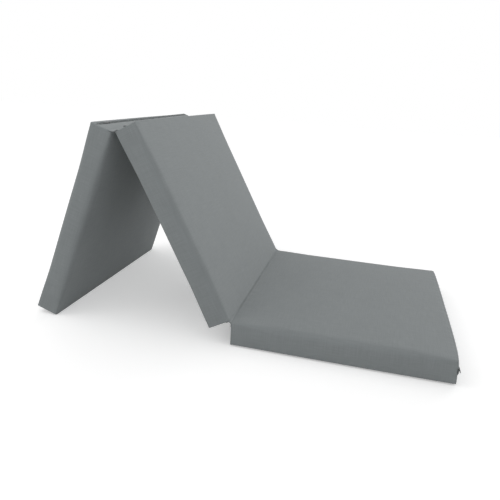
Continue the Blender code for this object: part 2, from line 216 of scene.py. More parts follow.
def closed_skin(name, grids):
    """A closed mesh: a tube through the borders of the grids, and the first and last grid.

    Gives the mesh, its places, the tube's faces, and each end's points and faces.
    """
    rows, columns = grids[0].shape[:2]
    loops = [border(grid) for grid in grids]
    around = len(loops[0])
    inner = [grids[i][1:-1, 1:-1].reshape(-1, 3) for i in (0, -1)]
    places = np.concatenate(loops + inner)
    tube = []
    for start in range(0, (len(grids) - 1) * around, around):
        for m in range(around):
            n = (m + 1) % around
            tube.append((start + m, start + n, start + around + n, start + around + m))
    ends = []
    for last in (0, 1):
        index = np.zeros((rows, columns), int)
        loop = np.arange(around) + last * (len(grids) - 1) * around
        index[0, :-1] = loop[: columns - 1]
        index[:-1, -1] = loop[columns - 1 : columns + rows - 2]
        index[-1, :0:-1] = loop[columns + rows - 2 : 2 * columns + rows - 3]
        index[:0:-1, 0] = loop[2 * columns + rows - 3 :]
        inside = (rows - 2) * (columns - 2)
        start = len(grids) * around + last * inside
        index[1:-1, 1:-1] = np.arange(start, start + inside).reshape(rows - 2, columns - 2)
        quads = []
        for j in range(rows - 1):
            for k in range(columns - 1):
                quad = (index[j, k], index[j, k + 1], index[j + 1, k + 1], index[j + 1, k])
                quads.append(quad if last else quad[::-1])
        ends.append((index, quads))
    mesh = bpy.data.meshes.new(name)
    mesh.from_pydata(places.tolist(), [], tube + ends[0][1] + ends[1][1])
    return mesh, places, tube, ends


def colour(code):
    """Six hex digits of an sRGB colour, as linear values."""
    values = []
    for i in (1, 3, 5):
        share = int(code[i : i + 2], 16) / 255
        values.append(share / 12.92 if share <= 0.04045 else ((share + 0.055) / 1.055) ** 2.4)
    return (*values, 1)


def feed(made, inputs):
    """Sets inputs of a node: a value, a socket, or a node that gives its first output."""
    for name, value in inputs.items():
        if isinstance(value, bpy.types.Node):
            value = value.outputs[0]
        if isinstance(value, bpy.types.NodeSocket):
            made.id_data.links.new(value, made.inputs[name])
        else:
            made.inputs[name].default_value = value


def node(tree, kind, inputs=None, **settings):
    """Adds a node with its settings and inputs; a kind without a family is a shader node's."""
    made = tree.nodes.new(kind if "Node" in kind else "ShaderNode" + kind)
    for name, value in settings.items():
        setattr(made, name, value)
    feed(made, inputs or {})
    return made


def new_material(name):
    """A material with its node tree and its Principled shader."""
    made = bpy.data.materials.new(name)
    made.use_nodes = True
    return made, made.node_tree, made.node_tree.nodes["Principled BSDF"]


def mottled(name, grain, dark, light, span=None):
    """A material that goes from dark to light in patches, with its tree, shader and patches."""
    made, tree, shader = new_material(name)
    place = node(tree, "TexCoord").outputs["Object"]
    patches = share = node(tree, "TexNoise", {"Vector": place, **grain})
    if span:
        share = {"Value": patches, "From Min": span[0], "From Max": span[1]}
        share = node(tree, "MapRange", share)
    tones = {0: share, 6: colour(dark), 7: colour(light)}
    shade = node(tree, "Mix", tones, data_type="RGBA")
    feed(shader, {"Base Color": shade.outputs[2]})
    return made, tree, shader, patches


def put(name, data, material=None):
    """An object for a finished mesh, lamp or camera, at the origin."""
    if material:
        data.materials.clear()
        data.materials.append(material)
    piece = bpy.data.objects.new(name, data)
    bpy.context.scene.collection.objects.link(piece)
    return piece


# Sawn open-cell foam: every cell is a pinhole, so it takes no highlight and looks pricked all
# over, and its cream yellows in patches 17 mm across. Real cells are 0.5 mm wide, which is too
# fine to show; they are drawn 1.1 mm wide.
CELLS_PER_METRE = 900
PATCHES_PER_METRE = 60
CELL_DEPTH = 0.0006

grain = {"Scale": PATCHES_PER_METRE, "Detail": 3}
foam, tree, shader, _ = mottled("open_cell_foam", grain, "#DED5BA", "#EDE7D3")
place = node(tree, "TexCoord").outputs["Object"]
cells = {"Vector": place, "Scale": CELLS_PER_METRE, "Randomness": 1}
cells = node(tree, "TexVoronoi", cells).outputs["Distance"]
pricks = {"Strength": 0.5, "Distance": CELL_DEPTH, "Height": cells}
feed(shader, {"Normal": node(tree, "Bump", pricks), "Roughness": 0.95})

for panel in panels:
    rows = side_rows(5, 3)
    columns = np.linspace(-1, 1, 33)
    low = panel.low + (ZIP_DEPTH[panel.name] if panel.zip_end == "low" else CLOTH_INSET)
    high = panel.high - (ZIP_DEPTH[panel.name] if panel.zip_end == "high" else CLOTH_INSET)
    radius = FOAM_END_RADIUS
    turns = [math.radians(angle) for angle in (90, 45, 0)]
    arc = [(radius * (1 - math.sin(turn)), radius * (1 - math.cos(turn))) for turn in turns]
    stops = [(low + along, inset) for along, inset in arc]
    stops += [(x, 0) for x in np.linspace(low + radius, high - radius, 32)[1:-1]]
    stops += [(high - along, inset) for along, inset in reversed(arc)]
    grids = [slab_section(panel, x, CLOTH_INSET + inset, rows, columns) for x, inset in stops]
    block = closed_skin(panel.name + "_foam_block", grids)[0]
    block.transform(panel.matrix)
    block.shade_smooth()
    piece = put(panel.name + "_foam_block", block, foam)
    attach(piece, panel.name)
    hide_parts(panel.name + "_foam_core")


# The covers' sleeves. One length of grey woven polyester wraps the front, back and long sides of
# each block. It is cut a little small, so the block fills it, and it pulls in beside its end seams.
END_RADII = {
    ("foot", "low"): 0.0012,
    ("foot", "high"): 0.0070,
    ("middle", "low"): 0.0020,
    ("middle", "high"): 0.0012,
    ("head", "low"): 0.0030,
    ("head", "high"): 0.0020,
}
CLOTH_THICKNESS = 0.0008
SLOT_HALF_WIDTH = 0.0054
SLOT_HALF_LENGTH = 0.326
STITCH_INSET = 0.0026
SEAM_DEPTH = 0.0018
SEAM_HOLD = 0.0025
SIDE_SOFTNESS = 1.6

# The cloth sim blows the skin up to SWELL at most. Where it pulls in, the foam gives FOAM_GIVE.
SWELL = 0.0014
FOAM_GRIP = 0.2
FOAM_GIVE = 0.0003
AIR_STEPS = 20
AIR = {
    "vertex_group_mass": "held",
    "use_pressure": True,
    "uniform_pressure_force": 4,
    "quality": 6,
    "mass": 0.3,
    "tension_stiffness": 15,
    "bending_stiffness": 0.6,
}

# Loops of points that turn from an end into the long faces, and the loop that the seam lies on.
END_LOOPS = 4
SEAM_LOOP = 2

# How the ends hang out of true. A bow is outwards at the back edge, the front edge and the zip;
# a setback is inwards along the front edge at its near side, middle and far side.
END_REACH = 0.05
END_BOW = {("foot", "high"): (0.0020, 0.0030, 0.0010)}
END_SETBACK = {
    ("foot", "high"): (0.0045, 0.0030, -0.0018),
    ("middle", "low"): (0, 0.0025, 0.0070),
    ("head", "high"): (0, 0.0025, 0.0070),
}
CORNER_DRAW = {("foot", "high"): 0.0032}

# How far an end puffs out below and above its zip, or all over in the first value without one.
PUFF_REACH = 14
PUFF_POWER = 4
END_PUFFS = {
    ("foot", "low"): (0.0005, 0.0005),
    ("foot", "high"): (0.0015, 0.0040),
    ("middle", "low"): (0.0004, 0.0004),
    ("middle", "high"): (0.0005, 0.0005),
    ("head", "low"): (0.0012, 0.0012),
    ("head", "high"): (0.0004, 0.0006),
}
PUCKERS = Kept(width=0.015, length=0.09, hold=0.004, fade=0.014, depth=0.0009, zip_depth=0.0016)
WAVES = Kept(along=0.19, across=0.15, up=0.05, depth=0.0004, sink=0.0002)

# Piece-dyed polyester in plain weave: matt, with a faint sheen at the edges, slubs along both ways
# of the yarn, and a slight clouding 110 mm across that keeps the big faces from looking flat. The
# real yarns lie 0.3 mm apart. They are drawn 1.1 mm apart, so that the weave still shows.
YARN_PITCH = 0.0011
YARN_DEPTH = 0.00012
SLUBS_PER_METRE = (18, 420)
CLOUDS_PER_METRE = 9

cover_cloth, tree, shader = new_material("woven_polyester_cover")
spread = node(tree, "UVMap", uv_map="weave")
threads = {0: spread, 1: (math.pi / YARN_PITCH,) * 3}
threads = node(tree, "VectorMath", threads, operation="MULTIPLY")
split = node(tree, "SeparateXYZ", {0: threads})
warp = node(tree, "Math", {0: split.outputs[0]}, operation="SINE")
weft = node(tree, "Math", {0: split.outputs[1]}, operation="SINE")
over = node(tree, "Math", {0: warp, 1: weft}, operation="MULTIPLY")
slubs = []
for stretch in (SLUBS_PER_METRE, SLUBS_PER_METRE[::-1]):
    at = node(tree, "VectorMath", {0: spread, 1: (*stretch, 1)}, operation="MULTIPLY")
    grain = {"Vector": at, "Scale": 1, "Detail": 2}
    slubs.append(node(tree, "TexNoise", grain))
slub = node(tree, "Math", {0: slubs[0], 1: slubs[1]}, operation="ADD")
place = node(tree, "TexCoord").outputs["Object"]
cloud = {"Vector": place, "Scale": CLOUDS_PER_METRE, "Detail": 4, "Roughness": 0.6}
cloud = node(tree, "TexNoise", cloud)
tone = node(tree, "Math", {0: slub, 1: cloud}, operation="ADD")
thread = node(tree, "Math", {0: over, 1: 0.10}, operation="MULTIPLY")
tone = node(tree, "Math", {0: tone, 1: thread}, operation="ADD")
share = node(tree, "MapRange", {"Value": tone, "From Min": 0.95, "From Max": 2.05})
tones = {0: share, 6: colour("#797E7F"), 7: colour("#878C8D")}
shade = node(tree, "Mix", tones, data_type="RGBA")
rough = {"Value": cloud, "From Min": 0.3, "From Max": 0.7, "To Min": 0.78, "To Max": 0.90}
rough = node(tree, "MapRange", rough)
relief = node(tree, "Math", {0: slub, 1: over}, operation="ADD")
bump = node(tree, "Bump", {"Strength": 0.35, "Distance": YARN_DEPTH, "Height": relief})
feed(shader, {"Base Color": shade.outputs[2], "Roughness": rough, "Normal": bump})
feed(shader, {"Specular IOR Level": 0.25, "Sheen Weight": 0.12, "Sheen Roughness": 0.6})


def zip_rows(panel):
    """Heights of the stitches and the slot's edge below the zip, and of both above it."""
    centre = panel.zip_height
    wide = SLOT_HALF_WIDTH
    return centre - wide - STITCH_INSET, centre - wide, centre + wide, centre + wide + STITCH_INSET


def on_loop(up):
    """The row height of which the end's section makes the wanted height."""
    stretch = (PANEL_THICKNESS - 2 * CORNER_RADIUS) / (PANEL_THICKNESS - 2 * LONG_EDGE_RADIUS)
    return PANEL_THICKNESS / 2 + (up - PANEL_THICKNESS / 2) / stretch


def end_place(panel, end):
    """Where an end lies along its panel, and which way it faces."""
    return (panel.high, 1) if end == "high" else (panel.low, -1)


def end_stops(radius):
    """(outwards, inset) of the loops that turn from an end into the long faces."""
    pinch = min(0.4 * radius, SEAM_DEPTH)
    stops = []
    for angle, share, pinched in ((90, 1, 0), (67.5, 1, 0), (45, 0.7, 0), (22.5, 1, pinch)):
        turn = math.radians(angle)
        inset = share * radius * (1 - math.cos(turn)) + pinched
        stops.append((radius * math.sin(turn), inset))
    return stops


def corner_draw(panel, end, y):
    """How far the seam draws in the near corner of an end, at y."""
    return CORNER_DRAW.get((panel.name, end), 0) * np.clip(-4 * y / PANEL_WIDTH - 1, 0, 1) ** 2


def hang_end(panel, end, away, grid):
    """Bows an end and sets it back, less and less at a section that lies away from it."""
    bow = END_BOW.get((panel.name, end), (0, 0, 0))
    near = np.clip(1 - max(away, 0) / END_REACH, 0, 1)
    rise = grid[..., 2] / PANEL_THICKNESS
    curve = 1 - (2 * grid[..., 1] / PANEL_WIDTH) ** 2
    out = (bow[0] + (bow[1] - bow[0]) * rise) * curve
    half = PANEL_WIDTH / 2
    back = np.interp(grid[..., 1], (-half, 0, half), END_SETBACK[panel.name, end])
    corner = corner_draw(panel, end, grid[..., 1])
    out = (out - back * rise**2 - corner) * near * near * (3 - 2 * near)
    grid[..., 0] += out if end == "high" else -out


def puff_end(panel, end, rings, slot):
    """Puffs out an end between its seams, and lays it flat beside a zip."""
    grid = rings[0]
    place, outwards = end_place(panel, end)
    heights = grid[:, grid.shape[1] // 2, 2]
    lower, upper = END_PUFFS[panel.name, end]
    if end == panel.zip_end:
        bow = END_BOW.get((panel.name, end), (0, 0, 0))[2]
        flat = place + outwards * bow * (1 - (2 * grid[..., 1] / PANEL_WIDTH) ** 2)
        below, above = zip_rows(panel)[1:3]
        left = PANEL_THICKNESS - heights
        lift = np.where(heights < below, heights / below, 0)
        rise = np.where(heights > above, left / (PANEL_THICKNESS - above), 0)
        puff = lower * (1 - (2 * lift - 1) ** PUFF_POWER)
        puff = puff + upper * (1 - (2 * rise - 1) ** PUFF_POWER)
        for j in range(1, len(heights) - 1):
            gap = 0 if slot[1] <= j <= slot[2] else min(abs(j - slot[1]), abs(j - slot[2]))
            keep = min(1, gap / 3)
            grid[j, 1:-1, 0] = flat[j, 1:-1] * (1 - keep) + grid[j, 1:-1, 0] * keep
    else:
        puff = lower * (1 - (2 * heights / PANEL_THICKNESS - 1) ** PUFF_POWER)
    for ring, share in zip(rings, (1, 0.8, 0.5, 0.2)):
        curve = np.clip(1 - (2 * ring[..., 1] / PANEL_WIDTH) ** PUFF_REACH, 0, 1)
        ring[..., 0] += outwards * share * puff[:, None] * curve


def swell(skin, held):
    """Swells a closed skin over its block while the held points stay, and returns its places."""
    count = len(skin.data.vertices)
    group = skin.vertex_groups.new(name="held")
    group.add(list(range(count)), FOAM_GRIP, "REPLACE")
    group.add(held, 1.0, "REPLACE")
    cloth = skin.modifiers.new("air", "CLOTH")
    for name, value in AIR.items():
        setattr(cloth.settings, name, value)
    cloth.settings.effector_weights.gravity = 0
    cloth.collision_settings.use_collision = False
    cloth.point_cache.frame_start = 1
    cloth.point_cache.frame_end = AIR_STEPS
    before, after, normals = (np.zeros(count * 3) for _ in range(3))
    skin.data.vertices.foreach_get("co", before)
    for step in range(1, AIR_STEPS + 1):
        bpy.context.scene.frame_set(step)
    blown = skin.evaluated_get(bpy.context.evaluated_depsgraph_get())
    blown.data.vertices.foreach_get("co", after)
    bpy.context.scene.frame_set(1)
    skin.data.vertices.foreach_get("normal", normals)
    normals = normals.reshape(-1, 3)
    rise = ((after - before).reshape(-1, 3) * normals).sum(axis=1)
    give = -FOAM_GIVE * np.tanh(-rise / FOAM_GIVE)
    rise = np.where(rise > 0, SWELL * np.tanh(rise / SWELL), give)
    return before.reshape(-1, 3) + normals * rise[:, None]


def lay_grids(panel, rows, slot):
    """The sections of a panel's skin from end to end, and where each lies along the panel."""
    spread = np.linspace(-1, 1, 65)
    columns = spread + 0.05 * np.sin(math.pi * spread)
    columns /= columns[-1]
    steps = np.linspace(0, 1, 67)
    steps = steps - 0.5 * np.sin(2 * math.pi * steps) / (2 * math.pi)
    low_radius, high_radius = (END_RADII[panel.name, end] for end in ("low", "high"))
    low = panel.low + low_radius
    high = panel.high - high_radius
    stations = [(low - out, inset) for out, inset in end_stops(low_radius)]
    stations += [(low + (high - low) * step, 0) for step in steps]
    stations += [(high + out, inset) for out, inset in reversed(end_stops(high_radius))]
    grids = []
    for i, (x, inset) in enumerate(stations):
        sunk = SWELL if END_LOOPS < i < len(stations) - END_LOOPS - 1 else 0
        soft = 0 if panel is foot else SIDE_SOFTNESS * max(low - x, x - high, 0)
        grid = slab_section(panel, x, inset + sunk, rows, columns, inset + sunk + soft)
        for end, away in (("low", x - low), ("high", high - x)):
            if (panel.name, end) in END_SETBACK:
                hang_end(panel, end, away, grid)
        grids.append(grid)
    puff_end(panel, "low", grids[:END_LOOPS], slot)
    puff_end(panel, "high", grids[: -END_LOOPS - 1 : -1], slot)
    nominal = border(slab_section(panel, PANEL_LENGTH / 2, 0, rows, columns))
    return grids, [x for x, inset in stations], nominal


def make_cover(panel):
    """A panel's closed skin, blown up, with its faces sorted into the pieces it is sewn from."""
    wanted = [on_loop(up) for up in zip_rows(panel)]
    rows = side_rows(6, 4, wanted)
    slot = [int(np.argmin(np.abs(rows[:, 1] - up))) for up in wanted]
    grids, along, nominal = lay_grids(panel, rows, slot)
    mesh, places, tube, ends = closed_skin("skin", grids)
    columns = grids[0].shape[1]
    count = len(nominal)
    edge = (END_LOOPS + 1) * count
    held = set(range(edge)) | set(range(len(grids) * count - edge, len(grids) * count))
    zip_index = ends[0 if panel.zip_end == "low" else 1][0]
    for j in range(slot[1], slot[2] + 1):
        held |= set(int(i) for i in zip_index[j])
    skin = put("skin", mesh)
    places = swell(skin, sorted(held))
    bpy.data.objects.remove(skin)
    bpy.data.meshes.remove(mesh)

    steps = np.linalg.norm(np.diff(np.vstack((nominal, nominal[:1])), axis=0), axis=1)
    around = np.concatenate(([0], np.cumsum(steps)))
    row_of = border(np.repeat(np.arange(len(rows))[:, None], columns, axis=1))
    faces = {kind: [] for kind in ("sleeve", "plain", "lower", "upper")}
    spots = {kind: [] for kind in faces}
    for number, face in enumerate(tube):
        i, m = divmod(number, count)
        end = "low" if i < SEAM_LOOP else "high" if i >= len(grids) - SEAM_LOOP - 1 else None
        kind = "plain" if end else "sleeve"
        if end == panel.zip_end:
            j = min(row_of[m], row_of[(m + 1) % count])
            kind = "lower" if j < slot[1] else "upper" if j >= slot[2] else "sleeve"
        faces[kind].append(face)
        if kind == "sleeve":
            ahead = (along[i], along[i], along[i + 1], along[i + 1])
            spots[kind] += zip(ahead, (around[m], around[m + 1], around[m + 1], around[m]))
        else:
            spots[kind] += [(places[v][1], places[v][2]) for v in face]
    for end, (_, quads) in zip(("low", "high"), ends):
        for number, face in enumerate(quads):
            j = number // (columns - 1)
            beyond = min(abs(places[v][1]) for v in face) > SLOT_HALF_LENGTH
            kind = "plain"
            if end == panel.zip_end:
                kind = "lower" if j < slot[1] else "upper" if j >= slot[2] or beyond else None
            if kind:
                faces[kind].append(face)
                spots[kind] += [(places[v][1], places[v][2]) for v in face]
    return Kept(panel=panel, places=places, faces=faces, spots=spots)


def lay_uv(mesh, name, spots):
    """Writes one (u, v) in metres at each corner of the mesh's faces."""
    layer = mesh.uv_layers.new(name=name)
    layer.data.foreach_set("uv", np.asarray(spots, np.float32).ravel())


def cut_piece(cover, kind, name):
    """The mesh of one sewn piece of a cover, once subdivided, with its weave laid on it."""
    used, faces = np.unique(np.array(cover.faces[kind]), return_inverse=True)
    mesh = bpy.data.meshes.new("coarse")
    mesh.from_pydata(cover.places[used].tolist(), [], faces.reshape(-1, 4).tolist())
    lay_uv(mesh, "weave", cover.spots[kind])
    rough = put("coarse", mesh)
    finer = rough.modifiers.new("finer", "SUBSURF")
    finer.levels = finer.render_levels = 1
    smooth = rough.evaluated_get(bpy.context.evaluated_depsgraph_get())
    made = bpy.data.meshes.new_from_object(smooth)
    bpy.data.objects.remove(rough)
    bpy.data.meshes.remove(mesh)
    made.name = name
    return made


def work_surface(mesh, depth):
    """Raises or sinks each point of a mesh by depth(point), less beside its sewn border."""
    uses = {}
    for face in mesh.polygons:
        for key in face.edge_keys:
            uses[key] = uses.get(key, 0) + 1
    sewn = sorted({i for key, count in uses.items() if count == 1 for i in key})
    sewn_tree = KDTree(len(sewn))
    for i in sewn:
        sewn_tree.insert(mesh.vertices[i].co, i)
    sewn_tree.balance()
    moves = []
    for vertex in mesh.vertices:
        away = sewn_tree.find(vertex.co)[2]
        moves.append(vertex.normal * depth(vertex.co) * (1 - math.exp(-((away / SEAM_HOLD) ** 2))))
    for vertex, move in zip(mesh.vertices, moves):
        vertex.co += move


def ripple(x, y, z):
    """Smooth noise between -1 and 1."""
    return noise.noise(Vector((x, y, z)))


def thicken(piece, thickness, offset=-1):
    """Gives a sheet its thickness; at -1 it goes inwards from the side that shows."""
    wall = piece.modifiers.new("thickness", "SOLIDIFY")
    wall.thickness = thickness
    wall.offset = offset


# Here and below, multiples of the seed keep the panels' puckers from being alike.
covers = [make_cover(panel) for panel in panels]
for seed, cover in enumerate(covers):
    panel = cover.panel
    mesh = cut_piece(cover, "sleeve", panel.name + "_sleeve_cloth")

    def puckers(at):
        """Short gathers where the end seams draw the cloth in, and long faint waves elsewhere."""
        near = min(at.x - panel.low, panel.high - at.x)
        wide, long = PUCKERS.width, PUCKERS.length
        gather = ripple(at.y / wide, at.z / wide, at.x / long + 7 * seed)
        wave = ripple(at.x / WAVES.along, at.y / WAVES.across + 3 * seed, at.z / WAVES.up)
        at_zip = panel is foot and at.x > PANEL_LENGTH / 2
        pull = PUCKERS.zip_depth if at_zip else PUCKERS.depth
        fade = math.exp(-max(near - PUCKERS.hold, 0) / PUCKERS.fade)
        return pull * gather * fade + WAVES.depth * wave - WAVES.sink

    work_surface(mesh, puckers)
    for vertex in mesh.vertices:
        vertex.co.z = min(max(vertex.co.z, 0), PANEL_THICKNESS)
    mesh.transform(panel.matrix)
    mesh.shade_smooth()
    piece = put(mesh.name, mesh, cover_cloth)
    thicken(piece, CLOTH_THICKNESS)
    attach(piece, panel.name)
    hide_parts(panel.name + "_cover_sleeve")


# The plain ends. Each is a strip of the same cloth that closes the end without a zip, sewn all
# round to the sleeve from the inside, so the seam shows as a fine pinched line.
PLAIN_GATHERS = Kept(width=0.014, length=0.09, hold=0.004, fade=0.020, depth=0.0004)

for seed, cover in enumerate(covers):
    panel = cover.panel
    mesh = cut_piece(cover, "plain", panel.name + "_plain_end_cloth")

    def gathers(at):
        """Gathers along the seam, which run from it towards the middle of the strip."""
        near = min(at.z, PANEL_THICKNESS - at.z)
        gather = ripple(at.y / PLAIN_GATHERS.width, at.z / PLAIN_GATHERS.length, 11 * seed)
        held = 1 - math.exp(-near / PLAIN_GATHERS.hold)
        return PLAIN_GATHERS.depth * gather * held * math.exp(-near / PLAIN_GATHERS.fade)

    work_surface(mesh, gathers)
    mesh.transform(panel.matrix)
    for vertex in mesh.vertices:
        vertex.co.z = max(vertex.co.z, 0)
    mesh.shade_smooth()
    piece = put(mesh.name, mesh, cover_cloth)
    thicken(piece, CLOTH_THICKNESS)
    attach(piece, panel.name)
    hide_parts(panel.name + "_end_panel")
    flat = (PANEL_WIDTH, PANEL_THICKNESS)


# The zip ends. Two strips of the cover cloth close the other end, each with its free edge folded
# in beside the zip and sewn down to the zip's tape by a row of lockstitch.
THREAD = 0.0005
THREAD_SUNK = 0.2
STITCH_LENGTH = 0.0030
STITCH_GAP = 0.0007
ROW_SPOTS = 240
ROW_OVERRUN = 0.010
CAST_FROM = 0.02
ZIP_GATHERS = Kept(width=0.013, length=0.08, hold=0.003, fade=0.016, depth=0.0005, at_foot=0.0009)
LOOSE_CLOTH = Kept(width=0.06, length=0.05, depth=0.0002)

# Spun polyester thread: a shade darker than the cloth and softly matt, with the twist of its plies
# as fine bands 0.8 mm apart, so that a row of stitches reads as a dotted line.
TWIST_SCALE = 400

thread_polyester, tree, shader = new_material("spun_polyester_thread")
place = node(tree, "TexCoord").outputs["Object"]
twist = node(tree, "TexWave", {"Vector": place, "Scale": TWIST_SCALE, "Distortion": 2})
tones = {0: twist.outputs[1], 6: colour("#727677"), 7: colour("#838788")}
shade = node(tree, "Mix", tones, data_type="RGBA")
feed(shader, {"Base Color": shade.outputs[2], "Roughness": 0.6, "Sheen Weight": 0.1})


def open_group(name, inputs):
    """An empty geometry tree with its named inputs, and their sockets inside it."""
    tree = bpy.data.node_groups.new(name, "GeometryNodeTree")
    for label, kind in inputs.items():
        tree.interface.new_socket(label, in_out="INPUT", socket_type="NodeSocket" + kind)
    tree.interface.new_socket("Pieces", in_out="OUTPUT", socket_type="NodeSocketGeometry")
    return tree, node(tree, "NodeGroupInput").outputs


def close_group(tree, laid, material):
    """Makes the laid instances real, smooth and of their material, as the tree's result."""
    real = node(tree, "GeometryNodeRealizeInstances", {0: laid})
    smooth = node(tree, "GeometryNodeSetShadeSmooth", {0: real})
    dyed = node(tree, "GeometryNodeSetMaterial", {"Geometry": smooth, "Material": material})
    node(tree, "NodeGroupOutput", {0: dyed})


def grow(name, mesh, tree, values):
    """Runs a geometry tree on a mesh with its named inputs set, and returns the plain mesh."""
    seed = put(name + "_seed", mesh)
    growth = seed.modifiers.new("growth", "NODES")
    growth.node_group = tree
    for item in tree.interface.items_tree:
        if item.in_out == "INPUT" and item.name in values:
            growth[item.identifier] = values[item.name]
    grown = seed.evaluated_get(bpy.context.evaluated_depsgraph_get())
    made = bpy.data.meshes.new_from_object(grown)
    bpy.data.objects.remove(seed)
    bpy.data.meshes.remove(mesh)
    made.name = name
    return made


# Stitches are laid end to end along a path, each a long bead that sinks in at its ends.
inputs = {"Path": "Geometry", "Stitch Length": "Float", "Stitch Gap": "Float", "Thread": "Float"}
lockstitch, given = open_group("lockstitch", {**inputs, "Material": "Material"})
tree = lockstitch
line = node(tree, "GeometryNodeMeshToCurve", {"Mesh": given["Path"]})
pitch = {0: given["Stitch Length"], 1: given["Stitch Gap"]}
pitch = node(tree, "Math", pitch, operation="ADD")
spots = node(tree, "GeometryNodeResampleCurve", {"Curve": line, "Length": pitch}, mode="LENGTH")
ball = node(tree, "GeometryNodeMeshUVSphere", {"Segments": 6, "Rings": 6, "Radius": 0.5})
size = {0: given["Thread"], 1: given["Thread"], 2: given["Stitch Length"]}
size = node(tree, "CombineXYZ", size)
stitch = node(tree, "GeometryNodeTransform", {"Geometry": ball, "Scale": size})
along = node(tree, "GeometryNodeInputTangent")
turn = node(tree, "FunctionNodeAlignRotationToVector", {"Vector": along}, axis="Z")
laid = {"Points": spots, "Instance": stitch, "Rotation": turn}
laid = node(tree, "GeometryNodeInstanceOnPoints", laid)
close_group(tree, laid, given["Material"])

for seed, cover in enumerate(covers):
    panel = cover.panel
    end, outwards = end_place(panel, panel.zip_end)
    half = SLOT_HALF_LENGTH + ROW_OVERRUN
    stitched = []
    for kind, side, row in (("lower", -1, 0), ("upper", 1, 3)):
        mesh = cut_piece(cover, kind, f"{panel.name}_zip_{kind}_cloth")
        edge = panel.zip_height + side * SLOT_HALF_WIDTH

        def gathers(at):
            """Gathers beside the stitches, where the stiff tape holds the cloth shorter."""
            near = abs(at.z - edge)
            other = 5 * seed + side
            gather = ripple(at.y / ZIP_GATHERS.width, at.z / ZIP_GATHERS.length, other)
            loose = ripple(at.y / LOOSE_CLOTH.width, at.z / LOOSE_CLOTH.length, other)
            held = 1 - math.exp(-near / ZIP_GATHERS.hold)
            pull = ZIP_GATHERS.at_foot if panel is foot else ZIP_GATHERS.depth
            fade = math.exp(-near / ZIP_GATHERS.fade)
            return held * (pull * gather * fade + LOOSE_CLOTH.depth * loose)

        work_surface(mesh, gathers)
        surface = BVHTree.FromPolygons(
            [vertex.co for vertex in mesh.vertices], [face.vertices for face in mesh.polygons]
        )
        up = zip_rows(panel)[row]
        spots = []
        for y in np.linspace(-half, half, ROW_SPOTS):
            start = Vector((end + outwards * CAST_FROM, y, up))
            hit = surface.ray_cast(start, Vector((-outwards, 0, 0)))[0]
            if hit:
                spots.append(hit + Vector((outwards * THREAD * THREAD_SUNK, 0, 0)))
        stitched.append(spots)
        mesh.transform(panel.matrix)
        mesh.shade_smooth()
        piece = put(mesh.name, mesh, cover_cloth)
        thicken(piece, CLOTH_THICKNESS)
        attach(piece, panel.name)
        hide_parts(f"{panel.name}_zip_panel_{kind}")
        flat = (PANEL_WIDTH, edge if kind == "lower" else PANEL_THICKNESS - edge)

    paths = bpy.data.meshes.new("paths")
    points = [point for spots in stitched for point in spots]
    between = len(stitched[0])
    paths.from_pydata(points, [(i - 1, i) for i in range(1, len(points)) if i != between], [])
    sizes = {"Stitch Length": STITCH_LENGTH, "Stitch Gap": STITCH_GAP, "Thread": THREAD}
    sizes["Material"] = thread_polyester
    rows_sewn = grow(panel.name + "_zip_stitching", paths, lockstitch, sizes)
    rows_sewn.transform(panel.matrix)
    piece = put(rows_sewn.name, rows_sewn)
    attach(piece, panel.name)


# The zips' tapes. Two narrow tapes of grey polyester lie behind each slot, woven tight and flat
# in a herringbone; they are sewn under the strips and run on into the side seams.
TAPE_WIDTH = 0.011
TAPE_THICKNESS = 0.0007
TAPE_FACE = -0.0015
TAPE_MARGIN = 0.004
TAPE_RIPPLE = Kept(along=0.03, across=0.01, depth=0.00012)
COIL_EDGE = 0.0005
DRAW_EASE = 0.005

# Woven zip tape: a little smoother than the cover, with slanted ribs that turn back every 2.2 mm.
# It is painted lighter than the cover, as light that lifts the shade in the slot; the real tape is
# dyed to match. Real ribs lie 0.5 mm apart; they are drawn 1 mm apart, so that they still show.
CHEVRON = 0.0022
RIB_PITCH = 0.0010
RIB_DEPTH = 0.0001

zip_tape, tree, shader = new_material("herringbone_zip_tape")
spread = node(tree, "UVMap", uv_map="weave")
split = node(tree, "SeparateXYZ", {0: spread})
chevron = node(tree, "Math", {0: split.outputs[1], 1: CHEVRON}, operation="PINGPONG")
slant = node(tree, "Math", {0: split.outputs[0], 1: chevron}, operation="ADD")
ribs = node(tree, "Math", {0: slant, 1: 2 * math.pi / RIB_PITCH}, operation="MULTIPLY")
rib = node(tree, "Math", {0: ribs}, operation="SINE")
share = node(tree, "MapRange", {"Value": rib, "From Min": -1, "From Max": 1})
# Both tones are painted lighter than the dyed tape: painted light that lifts the shade inside the
# slot.
tones = {0: share, 6: colour("#868B8C"), 7: colour("#94999A")}
shade = node(tree, "Mix", tones, data_type="RGBA")
bump = node(tree, "Bump", {"Strength": 0.5, "Distance": RIB_DEPTH, "Height": rib})
feed(shader, {"Base Color": shade.outputs[2], "Normal": bump})
feed(shader, {"Roughness": 0.75, "Sheen Weight": 0.1})


def zip_sides():
    """Each side of each zip: its panel, the zip's frame, its name and its direction in the frame.

    The frame has X out of the end, Y towards the closed end, and Z across the chain.
    """
    for panel in panels:
        end, outwards = end_place(panel, panel.zip_end)
        across = Vector((outwards, 0, 0)).cross(Vector((0, -1, 0)))
        turned = Matrix(((outwards, 0, across.x), (0, -1, across.y), (0, 0, across.z))).to_4x4()
        matrix = panel.matrix @ Matrix.Translation((end, 0, panel.zip_height)) @ turned
        yield panel, matrix, "upper", across.z
        yield panel, matrix, "lower", -across.z


def follow_bow(mesh, panel):
    """Carries a part of the zip out with the bow of the panel's end."""
    bow = END_BOW.get((panel.name, panel.zip_end), (0, 0, 0))[2]
    for vertex in mesh.vertices:
        vertex.co.x += bow * max(0, 1 - (2 * vertex.co.y / PANEL_WIDTH) ** 2)


